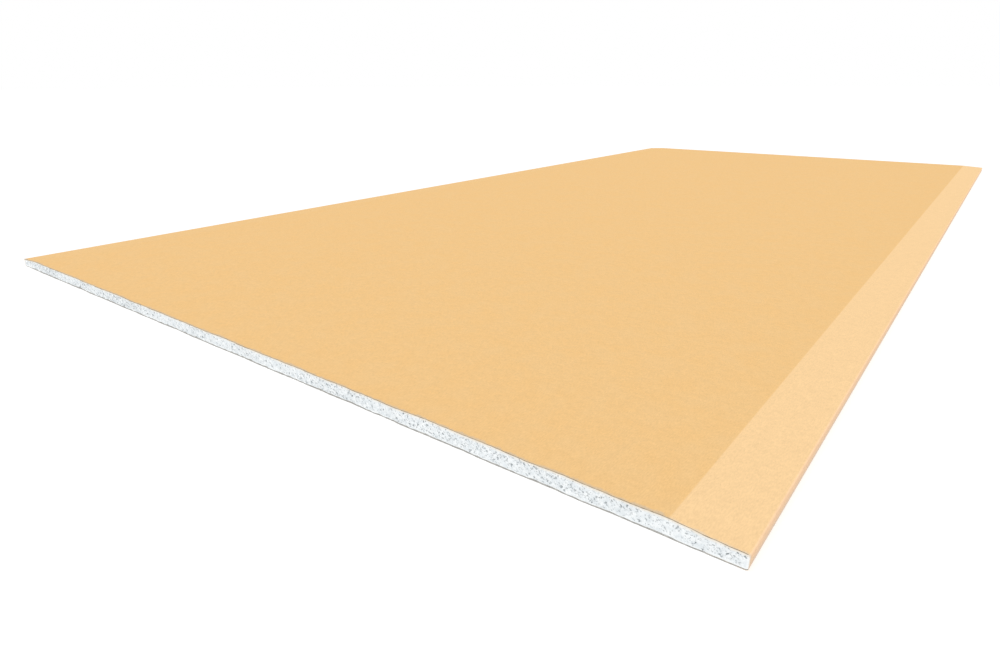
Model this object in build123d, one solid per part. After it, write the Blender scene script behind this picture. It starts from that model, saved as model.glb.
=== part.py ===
from build123d import *
import os

# Gypsum board lying face up: width along X, length along Y, thickness along Z.
# The origin is the middle of the underside. All sizes are in millimetres.
board_length = 2438.4
board_width = 1219.2
board_thickness = 15.9

# Long edges: the face slopes down to a lower shoulder, where the paper turns under.
taper_width = 56.0
taper_depth = 3.2
taper_blend_radius = 60.0
shoulder_radius = 1.6
heel_radius = 2.0

# Papers: the face paper wraps both long edges, and the back paper laps its flaps.
face_paper_thickness = 0.4
back_paper_thickness = 0.35
back_paper_setback = 8.0
paper_lap = 20.0

half_width = board_width / 2
shoulder_height = board_thickness - taper_depth
flap_end = half_width - back_paper_setback - paper_lap


def wrapped_outline():
    """Section inside the face paper's outer surface, down to the back paper."""
    right_corners = [
        (half_width, back_paper_thickness),
        (half_width, shoulder_height),
        (half_width - taper_width, board_thickness),
    ]
    left_corners = [(-x, z) for x, z in reversed(right_corners)]
    radii = [heel_radius, shoulder_radius, taper_blend_radius]
    edge = FilletPolyline(*right_corners, *left_corners, radius=radii + radii[::-1], close=True)
    return make_face(edge)


def core_section(outline):
    """Gypsum inside the face paper, reaching the back paper between the two flaps."""
    cast = offset(outline, -face_paper_thickness)
    bed = Rectangle(2 * flap_end, face_paper_thickness, align=(Align.CENTER, Align.MIN))
    return cast + Pos(0, back_paper_thickness) * bed


def back_paper_section():
    """Flat sheet on the underside, set back from both long edges."""
    width = board_width - 2 * back_paper_setback
    return Rectangle(width, back_paper_thickness, align=(Align.CENTER, Align.MIN))


def run_lengthwise(section):
    """Solid of a section, square-cut at both ends of the board."""
    return extrude(Plane.XZ * section, board_length / 2, both=True)


outline = wrapped_outline()
core = core_section(outline)
sections = {
    "gypsum_core": core,
    "face_paper": outline - core,
    "back_paper": back_paper_section(),
}

os.makedirs("parts", exist_ok=True)
for node, section in sections.items():
    export_step(run_lengthwise(section), f"parts/{node}.step")
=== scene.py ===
import math
import random

import bmesh
import bpy
import numpy as np
from mathutils import Matrix, Vector, noise


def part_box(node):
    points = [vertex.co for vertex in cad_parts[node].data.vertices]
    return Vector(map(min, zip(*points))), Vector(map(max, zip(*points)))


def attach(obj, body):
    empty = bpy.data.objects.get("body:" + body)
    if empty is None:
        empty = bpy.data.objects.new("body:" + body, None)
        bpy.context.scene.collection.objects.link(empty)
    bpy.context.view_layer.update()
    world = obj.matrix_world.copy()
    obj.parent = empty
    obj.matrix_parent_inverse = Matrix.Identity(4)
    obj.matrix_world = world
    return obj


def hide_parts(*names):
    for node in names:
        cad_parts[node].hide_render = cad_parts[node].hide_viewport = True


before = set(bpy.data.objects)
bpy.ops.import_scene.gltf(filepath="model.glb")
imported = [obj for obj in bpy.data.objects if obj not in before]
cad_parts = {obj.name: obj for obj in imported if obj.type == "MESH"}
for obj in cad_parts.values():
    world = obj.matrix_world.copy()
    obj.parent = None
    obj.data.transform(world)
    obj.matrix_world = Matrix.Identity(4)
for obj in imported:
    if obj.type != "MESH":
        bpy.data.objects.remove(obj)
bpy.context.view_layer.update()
paperLow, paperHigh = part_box("face_paper")
backLow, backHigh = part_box("back_paper")

# The board lies face up, its length along Y. Sizes are in metres, and the overall ones come from the frame.
board = {
    "halfWidth": paperHigh[0],
    "halfLength": paperHigh[1],
    "top": paperHigh[2],
    "underFlaps": paperLow[2],
    "taperWidth": 0.056,
    "taperDepth": 0.0032,
    "breakRadius": 0.06,
    "shoulderRadius": 0.0016,
    "heelRadius": 0.002,
    "paper": 0.0004,
    "flapWidth": 0.028,
}
taperTurn = math.atan2(board["taperDepth"], board["taperWidth"])
shoulderHeight = board["top"] - board["taperDepth"]
breakPlace = board["halfWidth"] - board["taperWidth"]
flapEnd = board["halfWidth"] - board["flapWidth"]
coreSide = board["halfWidth"] - board["paper"]
tiny = 1e-6    # what lies closer than this is at one place


# Node helpers

noiseSpread = {"wide": (0.25, 0.75), "middle": (0.3, 0.7), "narrow": (0.35, 0.65)}    # of a noise's values


def newFinish(name):
    finish = bpy.data.materials.new(name)
    finish.use_nodes = True
    return finish, finish.node_tree, finish.node_tree.nodes["Principled BSDF"]


def addNode(tree, kind, inputs=None, **settings):
    node = tree.nodes.new(kind)
    for name, value in settings.items():
        setattr(node, name, value)
    for socket, value in (inputs or {}).items():
        if isinstance(value, bpy.types.NodeSocket):
            tree.links.new(value, node.inputs[socket])
        else:
            node.inputs[socket].default_value = value
    return node


def stretched(tree, scale=(1.0, 1.0, 1.0)):
    coords = addNode(tree, "ShaderNodeTexCoord").outputs["Object"]
    return addNode(tree, "ShaderNodeMapping", {"Vector": coords, "Scale": scale}).outputs[0]


def axes(tree, where):
    return addNode(tree, "ShaderNodeSeparateXYZ", {0: where}).outputs


def carried(tree, name):
    return addNode(tree, "ShaderNodeAttribute", attribute_name=name).outputs["Fac"]


def grain(tree, where, scale, detail=3.0, roughness=0.6):
    inputs = {"Vector": where, "Scale": scale, "Detail": detail, "Roughness": roughness}
    return addNode(tree, "ShaderNodeTexNoise", inputs).outputs[0]


def cells(tree, where, scale):
    return addNode(tree, "ShaderNodeTexVoronoi", {"Vector": where, "Scale": scale}).outputs


def ramped(tree, value, fromMin, fromMax, toMin=0.0, toMax=1.0, smooth=False):
    inputs = {"Value": value, "From Min": fromMin, "From Max": fromMax, "To Min": toMin, "To Max": toMax}
    kind = "SMOOTHSTEP" if smooth else "LINEAR"
    return addNode(tree, "ShaderNodeMapRange", inputs, interpolation_type=kind).outputs[0]


def maths(tree, operation, first, second=0.0):
    return addNode(tree, "ShaderNodeMath", {0: first, 1: second}, operation=operation).outputs[0]


def mixed(tree, factor, first, second, blend="MIX"):
    inputs = {0: factor, 6: first, 7: second}    # the mix node keeps its two colours at 6 and 7
    return addNode(tree, "ShaderNodeMix", inputs, data_type="RGBA", blend_type=blend).outputs[2]


def toned(tree, colour, tone):
    grey = addNode(tree, "ShaderNodeCombineColor", {0: tone, 1: tone, 2: tone}).outputs[0]
    return mixed(tree, 1.0, colour, grey, "MULTIPLY")


def rimShare(tree, across, insets):
    # 1 at both long edges and 0 away from them
    outward = maths(tree, "ABSOLUTE", across)
    return ramped(tree, outward, *(board["halfWidth"] - inset for inset in insets))


def bumped(tree, shader, height, strength, distance):
    inputs = {"Height": height, "Strength": strength, "Distance": distance}
    tree.links.new(addNode(tree, "ShaderNodeBump", inputs).outputs[0], shader.inputs["Normal"])


def seenRays(tree):
    # the rays that show the background: straight on, in gloss and through glass
    path = addNode(tree, "ShaderNodeLightPath").outputs
    seen = maths(tree, "MAXIMUM", path["Is Camera Ray"], path["Is Glossy Ray"])
    return maths(tree, "MAXIMUM", seen, path["Is Transmission Ray"])


# Finishes

def finishPaper(tree, shader, look, colour, along, fibre):
    # what both papers end with: flecks, and fibres that are felt
    distance = cells(tree, along, look["fleckScale"])["Distance"]
    speck = ramped(tree, distance, *look["fleckRange"], 0.0, look["fleckShare"])
    tree.links.new(mixed(tree, speck, colour, look["fleck"]), shader.inputs["Base Color"])
    tree.links.new(ramped(tree, fibre, *noiseSpread["middle"], *look["matt"]), shader.inputs["Roughness"])
    shader.inputs["Specular IOR Level"].default_value = look["shine"]
    bumped(tree, shader, fibre, *look["bump"])


def tanPaperFinish():
    look = {
        "face": (0.880, 0.575, 0.263, 1.0),
        "warm": (0.888, 0.567, 0.247, 1.0),
        "cloud": {"scale": 40.0, "detail": 4.0},
        "stretch": (1.0, 0.3, 1.0),
        "fibre": {"scale": 950.0},
        "fibreTone": (0.92, 1.08),
        "mottle": {"scale": 120.0, "detail": 6.0, "roughness": 0.85},
        "mottleTone": (0.94, 1.06),
        # painted light and sheen: the right taper band tilts toward the key light, so its paper is painted
        # paler than the face
        "band": (0.945, 0.652, 0.345, 1.0),
        "bandStart": 0.0012,
        "bandLine": 0.0008,
        "leftLitShare": 0.1,    # painted light: the left band tilts away from the key light and gets a tenth of it, hardly paler than the face
        "edge": (0.985, 0.675, 0.425, 1.0),
        "edgeRange": (0.0015, 0.0002),
        # painted shade: the paper of the side wall darkens towards its foot by the floor
        "heel": (0.77, 0.63, 0.505, 1.0),
        "heelShadeRange": (0.0085, 0.001),
        "frayed": (0.66, 0.535, 0.385, 1.0),
        # the frayed colour on the right taper band, paler by the same painted light
        "frayedLitBand": (0.80, 0.65, 0.48, 1.0),
        "frayRange": (0.0032, 0.0006),
        "frayShare": 0.8,
        "fray": {"scale": 90.0, "detail": 3.0, "roughness": 0.7},
        "frayWander": (-0.0026, 0.0016),
        "fleck": (0.62, 0.42, 0.22, 1.0),
        "fleckScale": 260.0,
        "fleckRange": (0.10, 0.05),
        "fleckShare": 0.25,
        "matt": (0.84, 0.94),
        "shine": 0.08,
        "bump": (0.12, 0.0002),
    }
    finish, tree, shader = newFinish("tanPaper")
    along = stretched(tree, look["stretch"])
    even = stretched(tree)
    fibre = grain(tree, along, **look["fibre"])
    mottle = grain(tree, even, **look["mottle"])
    cloud = grain(tree, even, **look["cloud"])
    place = axes(tree, even)
    colour = mixed(tree, ramped(tree, cloud, *noiseSpread["narrow"]), look["face"], look["warm"])

    bandStart = breakPlace + look["bandStart"]
    low, high = bandStart - look["bandLine"], bandStart + look["bandLine"]
    # painted light and sheen on the taper bands: full on the right one, a tenth on the left one
    rightLitBand = ramped(tree, place["X"], low, high, smooth=True)
    leftLitBand = ramped(tree, place["X"], -low, -high, 0.0, look["leftLitShare"], smooth=True)
    colour = mixed(tree, maths(tree, "ADD", rightLitBand, leftLitBand), colour, look["band"])
    # painted shade: from the edge tone down to the darker heel tone towards the floor
    edge = mixed(tree, ramped(tree, place["Z"], *look["heelShadeRange"]), look["edge"], look["heel"])
    colour = mixed(tree, rimShare(tree, place["X"], look["edgeRange"]), colour, edge)

    # the face is darker close to the cut, as far as the fibres are torn
    torn = ramped(tree, grain(tree, even, **look["fray"]), *noiseSpread["middle"], *look["frayWander"])
    fringe = maths(tree, "SUBTRACT", carried(tree, "fringe"), torn)
    frayed = mixed(tree, rightLitBand, look["frayed"], look["frayedLitBand"])
    colour = mixed(tree, ramped(tree, fringe, *look["frayRange"], 0.0, look["frayShare"]), colour, frayed)

    fibreTone = ramped(tree, fibre, *noiseSpread["wide"], *look["fibreTone"])
    mottleTone = ramped(tree, mottle, *noiseSpread["wide"], *look["mottleTone"])
    colour = toned(tree, colour, maths(tree, "MULTIPLY", fibreTone, mottleTone))
    finishPaper(tree, shader, look, colour, along, fibre)
    return finish


def greyPaperFinish():
    look = {
        "sheet": (0.36, 0.335, 0.295, 1.0),
        "pale": (0.44, 0.415, 0.37, 1.0),
        "cloud": {"scale": 55.0, "detail": 4.0},
        "stretch": (1.0, 0.25, 1.0),
        "fibre": {"scale": 1100.0, "detail": 4.0},
        "fibreTone": (0.88, 1.12),
        "fleck": (0.16, 0.15, 0.14, 1.0),
        "fleckScale": 300.0,
        "fleckRange": (0.14, 0.07),
        "fleckShare": 0.6,
        "matt": (0.86, 0.96),
        "shine": 0.15,
        "bump": (0.2, 0.0003),
    }
    finish, tree, shader = newFinish("greyPaper")
    along = stretched(tree, look["stretch"])
    fibre = grain(tree, along, **look["fibre"])
    cloud = grain(tree, stretched(tree), **look["cloud"])
    colour = mixed(tree, ramped(tree, cloud, *noiseSpread["narrow"]), look["sheet"], look["pale"])
    colour = toned(tree, colour, ramped(tree, fibre, *noiseSpread["wide"], *look["fibreTone"]))
    finishPaper(tree, shader, look, colour, along, fibre)
    return finish


# Dark and pale fibres of a cut, and its colour where the paper turns down the long edges
cutColours = {
    "tanCut": ((0.36, 0.29, 0.205, 1.0), (0.56, 0.47, 0.35, 1.0), (0.88, 0.74, 0.62, 1.0)),
    "greyCut": ((0.37, 0.36, 0.34, 1.0), (0.55, 0.535, 0.505, 1.0), (0.55, 0.535, 0.505, 1.0)),
    "flapCut": ((0.42, 0.41, 0.39, 1.0), (0.60, 0.58, 0.55, 1.0), (0.32, 0.31, 0.29, 1.0)),
}


def cutPaperFinish(name):
    look = {
        "run": {"scale": 260.0, "detail": 4.0},
        "runRange": (0.45, 0.7),
        "edgeRange": (0.0018, 0.0008),
        "matt": 0.95,
        "shine": 0.1,
    }
    dark, pale, edge = cutColours[name]
    finish, tree, shader = newFinish(name)
    even = stretched(tree)
    run = grain(tree, even, **look["run"])
    colour = mixed(tree, ramped(tree, run, *look["runRange"]), dark, pale)
    rim = rimShare(tree, axes(tree, even)["X"], look["edgeRange"])
    tree.links.new(mixed(tree, rim, colour, edge), shader.inputs["Base Color"])
    shader.inputs["Roughness"].default_value = look["matt"]
    shader.inputs["Specular IOR Level"].default_value = look["shine"]
    return finish


def gypsumFinish():
    look = {
        "white": (0.962, 0.988, 0.996, 1.0),
        "powder": {"scale": 900.0, "detail": 4.0},
        "powderTone": (0.955, 1.03),
        "patch": (0.825, 0.87, 0.894, 1.0),
        "patches": {"scale": 160.0, "detail": 3.0},
        "patchRange": (0.38, 0.6),
        "bubble": (0.42, 0.45, 0.475, 1.0),    # painted shade in the fine bubbles, which are too small for the mesh
        "bubbleScale": 750.0,
        "bubbleRange": (0.34, 0.16),
        "bubbleChance": (0.35, 1.0),
        "lint": (0.90, 0.74, 0.53, 1.0),
        "lintShare": (0.5, 1.0),
        # painted shade inside the pits of the mesh
        "poreShade": (0.28, 0.305, 0.32, 1.0),
        "poreRange": (0.05, 0.75),
        "ragged": {"scale": 1300.0, "detail": 2.0},
        "raggedRange": (-0.2, 0.2),
        "matt": 1.0,
        "shine": 0.1,
        "bump": (0.3, 0.0003),
    }
    finish, tree, shader = newFinish("gypsum")
    even = stretched(tree)
    heart = carried(tree, "heart")
    powder = grain(tree, even, **look["powder"])
    patch = ramped(tree, grain(tree, even, **look["patches"]), *look["patchRange"])
    colour = mixed(tree, maths(tree, "MULTIPLY", patch, heart), look["white"], look["patch"])
    colour = toned(tree, colour, ramped(tree, powder, *noiseSpread["wide"], *look["powderTone"]))

    # painted shade in fine bubbles that only the bump dents
    fine = cells(tree, even, look["bubbleScale"])
    chance = addNode(tree, "ShaderNodeSeparateColor", {0: fine["Color"]}).outputs[0]
    bubble = ramped(tree, fine["Distance"], *look["bubbleRange"])
    bubble = maths(tree, "MULTIPLY", bubble, ramped(tree, chance, *look["bubbleChance"]))
    bubble = maths(tree, "MULTIPLY", bubble, heart)
    colour = mixed(tree, bubble, colour, look["bubble"])

    lintShare = ramped(tree, powder, *noiseSpread["middle"], *look["lintShare"])
    colour = mixed(tree, maths(tree, "MULTIPLY", carried(tree, "lint"), lintShare), colour, look["lint"])
    # painted shade inside the pits, marked by the hole and shade attributes, with a ragged outline
    ragged = ramped(tree, grain(tree, even, **look["ragged"]), 0.0, 1.0, *look["raggedRange"])
    hole = maths(tree, "ADD", carried(tree, "hole"), ragged)
    hole = ramped(tree, hole, *look["poreRange"], smooth=True)
    colour = mixed(tree, maths(tree, "MULTIPLY", hole, carried(tree, "shade")), colour, look["poreShade"])
    tree.links.new(colour, shader.inputs["Base Color"])
    shader.inputs["Roughness"].default_value = look["matt"]
    shader.inputs["Specular IOR Level"].default_value = look["shine"]
    bumped(tree, shader, maths(tree, "SUBTRACT", powder, bubble), *look["bump"])
    return finish


# Baking maps: what shows gets nearly all of the map, and what is bonded gets a sliver

bakeMap = "OFBake"


def looksAlong(face):
    return abs(face.normal.y) > 0.5    # more along the length than across it


def isAtOneEnd(face):
    return len({vert.co.y > 0 for vert in face.verts}) == 1


def between(span, share):
    return span[0] + (span[1] - span[0]) * share


def lengthShare(place):
    return 0.5 + 0.5 * place.y / board["halfLength"]


def widthShare(place):
    return 0.5 + 0.5 * place.x / board["halfWidth"]


def unrolled(place):
    # how far out a point of the face paper lies, from the middle of the face to the end of a flap
    reach = abs(place.x)
    drop = max(0.0, shoulderHeight - place.z)
    folded = place.z < board["top"] / 2
    out = 2 * board["halfWidth"] - reach if folded else reach
    return math.copysign(out + drop, place.x)


def laySheetMap(bm, inner, runOf):
    chart = {
        "across": (0.004, 0.978),
        "shown": (0.07, 0.996),
        "bonded": (0.04, 0.056),
        "nearCut": (0.003, 0.013),
        "farCut": (0.020, 0.030),
        "leftHem": (0.983, 0.987),
        "rightHem": (0.991, 0.995),
    }
    bonded = set(inner)
    widest = max(runOf(vert.co) for vert in bm.verts)
    layer = bm.loops.layers.uv[bakeMap]
    for face in bm.faces:
        sides = {vert in bonded for vert in face.verts}
        centre = face.calc_center_median()
        cut = isAtOneEnd(face) and looksAlong(face)
        for loop in face.loops:
            place = loop.vert.co
            across = between(chart["across"], 0.5 + 0.5 * runOf(place) / widest)
            through = float(loop.vert in bonded)
            if sides == {False}:
                spot = (across, between(chart["shown"], lengthShare(place)))
            elif sides == {True}:
                spot = (across, between(chart["bonded"], lengthShare(place)))
            elif cut:
                spot = (across, between(chart["farCut" if centre.y > 0 else "nearCut"], through))
            else:
                hem = chart["rightHem" if centre.x > 0 else "leftHem"]
                spot = (between(hem, through), between(chart["shown"], lengthShare(place)))
            loop[layer].uv = spot


def layCoreMap(bm):
    # each cut end lies in strips, one above the other
    chart = {
        "strips": 6,
        "ends": (0.002, 0.905),
        "filled": 0.94,
        "inset": (0.004, 0.996),
        "top": (0.912, 0.945),
        "bottom": (0.952, 0.982),
        "side": (0.988, 0.997),
        "leftSide": (0.01, 0.45),
        "rightSide": (0.55, 0.99),
        "sideReach": 0.0025,
        "sideways": 0.7,
    }
    layer = bm.loops.layers.uv[bakeMap]
    sideStart = board["halfWidth"] - chart["sideReach"]
    for face in bm.faces:
        centre = face.calc_center_median()
        ending = isAtOneEnd(face)
        beside = abs(face.normal.x) > chart["sideways"] and abs(centre.x) > sideStart
        strip = int(widthShare(centre) * chart["strips"])
        row = strip + chart["strips"] * (centre.y > 0)
        for loop in face.loops:
            place = loop.vert.co
            across = widthShare(place)
            height = place.z / board["top"]
            if ending:
                run = across * chart["strips"] - strip
                rise = (row + height * chart["filled"]) / (2 * chart["strips"])
                spot = (between(chart["inset"], run), between(chart["ends"], rise))
            elif beside:
                half = chart["rightSide" if centre.x > 0 else "leftSide"]
                spot = (between(half, height), between(chart["side"], lengthShare(place)))
            else:
                level = chart["top" if face.normal.z > 0 else "bottom"]
                spot = (between(chart["inset"], across), between(level, lengthShare(place)))
            loop[layer].uv = spot


# The cut ends

cutLine = {
    "middle": 0.0008,
    "slow": 0.0012,
    "slowScale": 26.0,
    "quick": 0.0004,
    "quickScale": 120.0,
    "faceStart": 3.3,
    "backStart": 8.3,
    "quickStart": 5.7,
}


def cutDepth(x, z, side):
    # each paper is cut along a line of its own, and the core's end runs from the one line to the other
    upper = z / board["top"]
    depth = cutLine["middle"]
    for share, start in ((upper, cutLine["faceStart"]), (1.0 - upper, cutLine["backStart"])):
        slow = noise.noise(Vector((x * cutLine["slowScale"], start, side)))
        quick = noise.noise(Vector((x * cutLine["quickScale"], start + cutLine["quickStart"], side)))
        depth += share * (cutLine["slow"] * slow + cutLine["quick"] * quick)
    return max(depth, 0.0)


# How finely both papers are divided, and how their cut frays
paperCut = {
    "columnStep": 0.0007,
    "endRows": (0.0003, 0.0012, 0.005, 0.0149),
    "reach": 0.015,
    "wave": 0.00006,
    "waveScale": 60.0,
    "fuzz": 0.00006,
    "fuzzScale": 420.0,
    "fuzzStart": 7.0,
    "nicks": 40,
    "nickWidth": (0.0014, 0.003),
    "nickDepth": (0.00002, 0.00006),
    "burrScale": 140.0,
    "burrSlowing": 3.0,
    "burrStart": 3.0,
    "burrSwing": 0.6,
    "burrPeak": 1.1,
    "burrLeftGain": 0.3,
}


def raggedness(least, seed):
    # how far the cut paper lies behind its line at each place: wavy, fuzzy, and nicked here and there
    draw = random.Random(seed)
    nicks = []
    for _ in range(paperCut["nicks"]):
        place = draw.uniform(-board["halfWidth"], board["halfWidth"])
        nicks.append((place, draw.uniform(*paperCut["nickWidth"]), draw.uniform(*paperCut["nickDepth"])))

    def depthAt(x, z):
        waveScale, fuzzScale = paperCut["waveScale"], paperCut["fuzzScale"]
        wave = noise.noise(Vector((x * waveScale, seed, z * waveScale)))
        fuzz = noise.noise(Vector((x * fuzzScale, seed + paperCut["fuzzStart"], z * fuzzScale)))
        depth = least + paperCut["wave"] * (0.5 + 0.5 * wave) + paperCut["fuzz"] * (0.5 + 0.5 * fuzz)
        for place, width, deep in nicks:
            if abs(x - place) < width:
                depth += deep * (1.0 - ((x - place) / width) ** 2) ** 2
        return depth
    return depthAt


def markFringe(bm):
    # how far each point lies from the cut, up to the reach of the fraying
    fringe = bm.verts.layers.float.new("fringe")
    for vert in bm.verts:
        vert[fringe] = min(board["halfLength"] - abs(vert.co.y), paperCut["reach"])


def fray(bm, paper):
    for side in (-1, 1):
        depthAt = raggedness(paper["cutLeast"], paper["cutSeed"] + side)
        for vert in bm.verts:
            inward = board["halfLength"] - side * vert.co.y
            if inward < paperCut["reach"]:
                depth = depthAt(vert.co.x, vert.co.z) + cutDepth(vert.co.x, vert.co.z, side)
                vert.co.y -= side * depth * (1.0 - inward / paperCut["reach"])


def raiseBurr(bm, inner, paper):
    # fibres dragged over the core's cut end: the inner rim of the cut grows away from the sheet
    bm.normal_update()
    rim = set()
    for face in bm.faces:
        if looksAlong(face):
            rim.update(face.verts)
    seed = paper["burrSeed"]
    slowSeed = seed + paperCut["burrStart"]
    for vert in rim.intersection(inner):
        if abs(vert.co.x) < paper["burrStop"] and vert.co.z > paper["burrAbove"]:
            run = vert.co.x * paperCut["burrScale"]
            quick = noise.noise(Vector((run, seed, vert.co.y)))
            slow = noise.noise(Vector((run / paperCut["burrSlowing"], slowSeed, vert.co.y)))
            wave = 0.5 + paperCut["burrSwing"] * quick + paperCut["burrSwing"] * slow
            wave = min(max(wave, 0.0), paperCut["burrPeak"])
            gain = 1.0 - paperCut["burrLeftGain"] * vert.co.x / board["halfWidth"]
            vert.co.z += paper["burrWay"] * gain * (paper["burrLeast"] + paper["burrMost"] * wave)


def markCut(bm, inner, lowCut):
    # the cut edge, and the side that is bonded to the core
    bonded = set(inner)
    bm.normal_update()
    for face in bm.faces:
        cut = looksAlong(face)
        face.smooth = not cut
        if cut or bonded.issuperset(face.verts):
            face.material_index = 1
        if cut and face.calc_center_median().z < board["heelRadius"]:
            face.material_index = lowCut


# Pieces

def keepPiece(bm, name, node, finishes):
    mesh = bpy.data.meshes.new(name)
    bm.to_mesh(mesh)
    bm.free()
    for finish in finishes:
        mesh.materials.append(finish)
    piece = bpy.data.objects.new(name, mesh)
    bpy.context.scene.collection.objects.link(piece)
    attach(piece, "root")
    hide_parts(node)
    print(name, "has", sum(len(p.vertices) - 2 for p in mesh.polygons), "triangles")


def drawnSheet(corners):
    # an open line of corners at the near end, drawn along the length
    bm = bmesh.new()
    bm.loops.layers.uv.new(bakeMap)
    line = [bm.verts.new((x, -board["halfLength"], z)) for x, z in corners]
    for first, second in zip(line, line[1:]):
        bm.edges.new((first, second))
    grown = bmesh.ops.extrude_edge_only(bm, edges=bm.edges[:])["geom"]
    ends = [part for part in grown if isinstance(part, bmesh.types.BMVert)]
    bmesh.ops.translate(bm, vec=(0.0, 2 * board["halfLength"], 0.0), verts=ends)
    return bm


def isAcross(edge):
    return abs(edge.verts[0].co.y - edge.verts[1].co.y) < tiny


def roundLongEdges(bm, corner, radius, turn, segments):
    picked = []
    for edge in bm.edges:
        place = edge.verts[0].co
        near = abs(abs(place.x) - corner[0]) < tiny and abs(place.z - corner[1]) < tiny
        if near and not isAcross(edge):
            picked.append(edge)
    bmesh.ops.bevel(bm, geom=picked, offset=radius * math.tan(turn / 2), offset_type="OFFSET",
                    segments=segments, profile=0.5, affect="EDGES", material=-1)


def divideSheet(bm):
    # narrow columns all across, then rows close to both ends for the ragged cut
    step = paperCut["columnStep"]
    nearEdges = [edge for edge in bm.edges if isAcross(edge) and edge.verts[0].co.y < 0]
    for edge in [edge for edge in nearEdges if edge.calc_length() > 2 * step]:
        pair = [other for other in edge.link_faces[0].edges if isAcross(other)]
        cuts = round(edge.calc_length() / step) - 1
        bmesh.ops.subdivide_edges(bm, edges=pair, cuts=cuts, use_grid_fill=True)
    for side in (-1, 1):
        for row in paperCut["endRows"]:
            everything = bm.verts[:] + bm.edges[:] + bm.faces[:]
            place = (0.0, side * (board["halfLength"] - row), 0.0)
            bmesh.ops.bisect_plane(bm, geom=everything, plane_co=place, plane_no=(0.0, 1.0, 0.0))


def thicken(bm, thickness):
    outer = set(bm.verts)
    bmesh.ops.recalc_face_normals(bm, faces=bm.faces[:])
    bmesh.ops.solidify(bm, geom=bm.faces[:], thickness=thickness)
    return [vert for vert in bm.verts if vert not in outer]


def buildFacePaper(finishes):
    paper = {
        "heelSegments": 6,
        "shoulderSegments": 8,
        "breakSegments": 4,
        "cutLeast": 0.00002,
        "cutSeed": 11,
        "burrLeast": 0.0001,
        "burrMost": 0.0006,
        "burrSeed": 31,
        "burrWay": -1,
        "burrStop": board["halfWidth"] - board["shoulderRadius"],
        "burrAbove": board["top"] / 2,
    }
    right = [
        (flapEnd, board["underFlaps"]),
        (board["halfWidth"], board["underFlaps"]),
        (board["halfWidth"], shoulderHeight),
        (breakPlace, board["top"]),
    ]
    bm = drawnSheet(right + [(-x, z) for x, z in reversed(right)])
    shoulderTurn = math.pi / 2 - taperTurn
    roundLongEdges(bm, right[1], board["heelRadius"], math.pi / 2, paper["heelSegments"])
    roundLongEdges(bm, right[2], board["shoulderRadius"], shoulderTurn, paper["shoulderSegments"])
    roundLongEdges(bm, right[3], board["breakRadius"], taperTurn, paper["breakSegments"])
    divideSheet(bm)
    markFringe(bm)
    fray(bm, paper)
    inner = thicken(bm, board["paper"])
    raiseBurr(bm, inner, paper)
    markCut(bm, inner, 2)    # the flaps have a cut of their own
    laySheetMap(bm, inner, unrolled)
    keepPiece(bm, "facePaper", "face_paper", finishes)


def buildBackPaper(finishes):
    paper = {
        "cutLeast": 0.00003,
        "cutSeed": 23,
        "burrLeast": 0.0005,
        "burrMost": 0.0014,
        "burrSeed": 37,
        "burrWay": 1,
        "burrStop": flapEnd,
        "burrAbove": 0.0,
    }
    bm = drawnSheet([(backLow[0], backLow[2]), (backHigh[0], backLow[2])])
    divideSheet(bm)
    fray(bm, paper)
    inner = thicken(bm, backHigh[2] - backLow[2])
    raiseBurr(bm, inner, paper)
    markCut(bm, inner, 1)
    laySheetMap(bm, inner, lambda place: place.x)
    keepPiece(bm, "backPaper", "back_paper", finishes)


def arcRise(radius, away):
    return np.sqrt(np.clip(radius ** 2 - away ** 2, 0.0, None))


def coreTop(across):
    # flat, bend, taper and rounded shoulder, one paper below the face
    reach = np.abs(across)
    skin = board["paper"]
    bendStart = breakPlace - board["breakRadius"] * math.tan(taperTurn / 2)
    bendInner = board["breakRadius"] - skin
    bend = board["top"] - board["breakRadius"] + arcRise(bendInner, reach - bendStart)
    drop = (board["halfWidth"] - reach) * math.tan(taperTurn)
    slope = shoulderHeight + drop - skin / math.cos(taperTurn)
    shoulderStart = board["halfWidth"] - board["shoulderRadius"]
    shoulderInner = board["shoulderRadius"] - skin
    lean = math.tan(taperTurn) - 1.0 / math.cos(taperTurn)
    shoulderBase = shoulderHeight + board["shoulderRadius"] * lean
    shoulder = shoulderBase + arcRise(shoulderInner, reach - shoulderStart)
    stages = [
        reach < bendStart,
        reach < bendStart + bendInner * math.sin(taperTurn),
        reach < shoulderStart + shoulderInner * math.sin(taperTurn),
    ]
    return np.select(stages, [np.full_like(reach, board["top"] - skin), bend, slope], shoulder)


def coreBottom(across):
    # on the back paper in the middle, on the flaps beside it, rounded at the heels
    reach = np.abs(across)
    base, radius, skin = board["underFlaps"], board["heelRadius"], board["paper"]
    heelStart = board["halfWidth"] - radius
    heel = base + radius - arcRise(radius - skin, reach - heelStart)
    stages = [reach <= flapEnd, reach < heelStart]
    return np.select(stages, [np.full_like(reach, base), np.full_like(reach, base + skin)], heel)


# Air bubbles that the saw opened, pits in the mesh whose dark colour is painted shade. To the left they are
# fewer, wider and their painted shade paler, and they crowd and thin out.
pores = {
    "margin": 0.0017,
    "dense": 0.3,
    "fewer": 0.5,
    "wider": 0.8,
    "paler": 0.1,
    "bare": 0.8,
    "bareScale": 12.0,
    "bareStart": 187.66,
    "around": 0.0008,
    "shrink": (0.6, 0.95),
    "kinds": (
        {"count": 320, "radius": (0.0006, 0.0009), "depth": (0.7, 1.1),
         "dark": (0.6, 1.0), "lobes": (1, 2, 2)},
        {"count": 1400, "radius": (0.0005, 0.0007), "depth": (0.6, 1.0),
         "dark": (0.3, 0.7), "lobes": (1, 1, 2)},
        {"count": 2150, "radius": (0.0004, 0.0006), "depth": (0.5, 0.9),
         "dark": (0.1, 0.4), "lobes": (1, 1, 2)},
    ),
}


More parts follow.
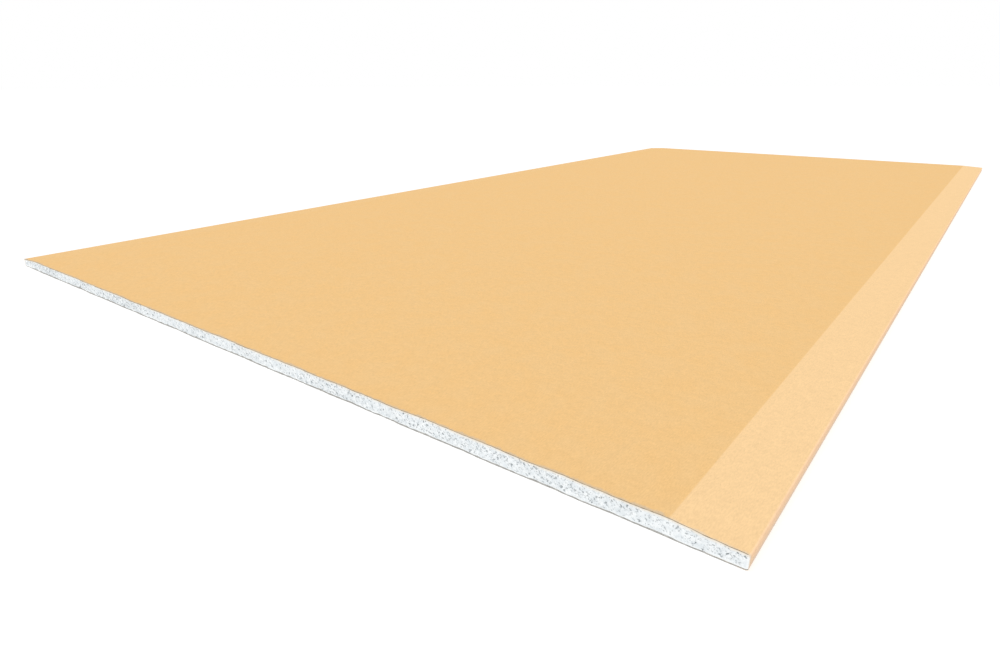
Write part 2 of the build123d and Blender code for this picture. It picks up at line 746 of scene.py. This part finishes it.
def pitted(across, height, seed):
    # for each point of an end: how deep it lies, how far inside a hole it is, and how dark the painted
    # shade of that hole is
    draw = random.Random(seed)
    order = np.argsort(across)
    ranked = across[order]
    widest = coreSide - pores["margin"]
    depth, hole, shade = np.zeros((3, len(across)))
    for kind in pores["kinds"]:
        for number in range(kind["count"]):
            share = (number + draw.random()) / kind["count"]
            x = widest * (2.0 * share - 1.0)
            low = coreBottom(np.array([x]))[0] + pores["margin"]
            high = coreTop(np.array([x]))[0] - pores["margin"]
            z = draw.uniform(low, high)
            leftward = 1.0 - share
            bare = noise.noise(Vector((x * pores["bareScale"], pores["bareStart"] + seed, 0.0)))
            if draw.random() < pores["fewer"] * leftward + pores["bare"] * bare:
                continue
            radius = draw.uniform(*kind["radius"]) * (1.0 + pores["wider"] * leftward)
            deep = draw.uniform(*kind["radius"]) * draw.uniform(*kind["depth"])
            dark = draw.uniform(*kind["dark"]) * (1.0 - pores["paler"] * leftward)
            for _ in range(draw.choice(kind["lobes"])):
                reach = radius + pores["around"]
                first, last = np.searchsorted(ranked, (x - reach, x + reach))
                near = order[first:last]
                away = np.hypot(across[near] - x, height[near] - z)
                bowl = np.clip(1.0 - (away / radius) ** 2, 0.0, 1.0)
                depth[near] = np.maximum(depth[near], deep * bowl)
                hole[near] = np.maximum(hole[near], bowl)
                shade[near] = np.maximum(shade[near], dark * (away < reach))
                x += radius * draw.uniform(-1.0, 1.0)
                z += radius * draw.uniform(-1.0, 1.0)
                radius *= draw.uniform(*pores["shrink"])
    return depth, hole, shade


def splitSquares(bm, places, low, high, rows):
    # neighbours are split the opposite way, so that no bubble is drawn out along one diagonal
    squares = [face for face in bm.faces if looksAlong(face)]
    middles = np.array([face.calc_center_median() for face in squares])
    columns = np.searchsorted(places, middles[:, 0])
    bottom = np.interp(middles[:, 0], places, low)
    top = np.interp(middles[:, 0], places, high)
    levels = np.floor(rows * (middles[:, 2] - bottom) / (top - bottom)).astype(int)
    odd = (columns + levels) % 2
    for share, method in ((0, "FIXED"), (1, "ALTERNATE")):
        faces = [face for face, side in zip(squares, odd) if side == share]
        bmesh.ops.triangulate(bm, faces=faces, quad_method=method)


def buildCore(finishes):
    core = {
        "columns": 1900,
        "rows": 22,
        "cornerColumns": 6,
        "step": 0.00002,
        "behind": 0.00026,
        "wave": 0.00005,
        "waveScale": (40.0, 90.0),
        "grain": 0.00004,
        "grainScale": 900.0,
        "lint": 0.0027,
        "nearSeed": 41,
        "farSeed": 43,
    }
    corner = board["heelRadius"] - board["paper"]
    straight = np.linspace(corner - coreSide, coreSide - corner, core["columns"])
    quarter = np.linspace(0.0, math.pi / 2, core["cornerColumns"] + 1)[1:]
    turn = coreSide - corner + corner * np.sin(quarter)
    step = np.array([flapEnd, flapEnd + core["step"]])
    places = np.sort(np.concatenate([straight, turn, -turn, step, -step]))
    low, high = coreBottom(places), coreTop(places)

    bm = bmesh.new()
    bm.loops.layers.uv.new(bakeMap)
    layers = {name: bm.verts.layers.float.new(name) for name in ("hole", "shade", "heart", "lint")}
    bmesh.ops.create_grid(bm, x_segments=len(places) - 1, y_segments=core["rows"], size=0.5)
    for vert in bm.verts:
        column = round((vert.co.x + 0.5) * (len(places) - 1))
        rise = (high[column] - low[column]) * (vert.co.y + 0.5)
        vert.co = (places[column], -board["halfLength"], low[column] + rise)
    nearEnd = bm.verts[:]
    everything = bm.verts[:] + bm.edges[:] + bm.faces[:]
    grown = bmesh.ops.extrude_face_region(bm, geom=everything, use_keep_orig=True)
    farEnd = [part for part in grown["geom"] if isinstance(part, bmesh.types.BMVert)]
    bmesh.ops.translate(bm, verts=farEnd, vec=(0.0, 2 * board["halfLength"], 0.0))
    bmesh.ops.recalc_face_normals(bm, faces=bm.faces[:])
    splitSquares(bm, places, low, high, core["rows"])
    for face in bm.faces:
        face.smooth = looksAlong(face)

    for seed, ending, verts in ((core["nearSeed"], -1, nearEnd), (core["farSeed"], 1, farEnd)):
        across = np.array([vert.co.x for vert in verts])
        height = np.array([vert.co.z for vert in verts])
        depth, hole, shade = pitted(across, height, seed)
        under = coreTop(across) - height
        clear = np.minimum(np.minimum(under, height - coreBottom(across)), coreSide - np.abs(across))
        heart = np.clip(clear / pores["margin"] - pores["dense"], 0.0, 1.0)    # 0 in the rim by the papers
        lint = np.clip(1.0 - under / core["lint"], 0.0, 1.0)    # dust of the face paper
        marks = {"hole": hole, "shade": shade, "heart": heart, "lint": lint}
        for number, vert in enumerate(verts):
            x, z = vert.co.x, vert.co.z
            wave = noise.noise(Vector((x * core["waveScale"][0], seed, z * core["waveScale"][1])))
            rough = noise.noise(Vector((x * core["grainScale"], seed, z * core["grainScale"])))
            back = core["behind"] + core["wave"] * wave + core["grain"] * rough + depth[number]
            back += cutDepth(x, z, ending)
            vert.co.y = ending * (board["halfLength"] - back)
            for name, values in marks.items():
                vert[layers[name]] = values[number]
    layCoreMap(bm)
    keepPiece(bm, "gypsumCore", "gypsum_core", finishes)


# Stage, light and camera

def buildStage():
    stage = {
        "radius": 40.0,
        "segments": 64,
        "lit": (0.8, 0.8, 0.8, 1.0),
        "seen": (1.07, 1.07, 1.07, 1.0),
    }
    mesh = bpy.data.meshes.new("floor")
    bm = bmesh.new()
    bmesh.ops.create_circle(bm, cap_ends=True, radius=stage["radius"], segments=stage["segments"])
    bm.to_mesh(mesh)
    bm.free()
    floor = bpy.data.objects.new("floor", mesh)
    bpy.context.scene.collection.objects.link(floor)
    finish = bpy.data.materials.new("paleFloor")
    finish.use_nodes = True
    tree = finish.node_tree
    tree.nodes.clear()
    colour = mixed(tree, seenRays(tree), stage["lit"], stage["seen"])
    flat = addNode(tree, "ShaderNodeBsdfDiffuse", {"Color": colour})
    addNode(tree, "ShaderNodeOutputMaterial", {"Surface": flat.outputs[0]})
    mesh.materials.append(finish)
    print("floor is", 2 * stage["radius"], "m across")


def buildLight():
    light = {
        "sky": 0.6,
        "skySeen": 1.0,
        "colour": (1.0, 1.0, 1.0, 1.0),
        "sun": 1.66,
        "from": (0.33, -0.55, 0.767),
        "softness": 20.0,
    }
    world = bpy.data.worlds.new("softRoom")
    bpy.context.scene.world = world
    world.use_nodes = True
    tree = world.node_tree
    tree.nodes.clear()
    strength = ramped(tree, seenRays(tree), 0.0, 1.0, light["sky"], light["skySeen"])
    back = addNode(tree, "ShaderNodeBackground", {"Color": light["colour"], "Strength": strength})
    addNode(tree, "ShaderNodeOutputWorld", {"Surface": back.outputs[0]})
    lamp = bpy.data.lights.new("key", "SUN")
    lamp.energy = light["sun"]
    lamp.angle = math.radians(light["softness"])
    key = bpy.data.objects.new("key", lamp)
    key.rotation_euler = Vector(light["from"]).to_track_quat("Z", "Y").to_euler()
    bpy.context.scene.collection.objects.link(key)
    print("light has a sky of", light["sky"], "and a sun of", light["sun"])


def buildCamera():
    view = {
        "place": (0.68538, -1.57292, 0.28953),
        "down": 21.221,
        "left": 37.653,
        "roll": -0.209,
        "lens": 23.291,
        "sensor": 36.0,
        "nearest": 0.01,
    }
    data = bpy.data.cameras.new("photoView")
    data.sensor_width = view["sensor"]
    data.lens = view["lens"]
    data.clip_start = view["nearest"]
    camera = bpy.data.objects.new("photoView", data)
    turn = Matrix.Rotation(math.radians(view["left"]), 4, "Z")
    tilt = Matrix.Rotation(math.radians(90.0 - view["down"]), 4, "X")
    roll = Matrix.Rotation(math.radians(view["roll"]), 4, "Z")
    camera.matrix_world = Matrix.Translation(view["place"]) @ turn @ tilt @ roll
    bpy.context.scene.collection.objects.link(camera)
    bpy.context.scene.camera = camera
    print("camera is at", view["place"])


bpy.context.scene.view_settings.view_transform = "Standard"
tanPaper = tanPaperFinish()
greyPaper = greyPaperFinish()
tanCut = cutPaperFinish("tanCut")
greyCut = cutPaperFinish("greyCut")
flapCut = cutPaperFinish("flapCut")
gypsum = gypsumFinish()
print("finishes are made")
buildFacePaper([tanPaper, tanCut, flapCut])
buildBackPaper([greyPaper, greyCut])
buildCore([gypsum])
buildStage()
buildLight()
buildCamera()
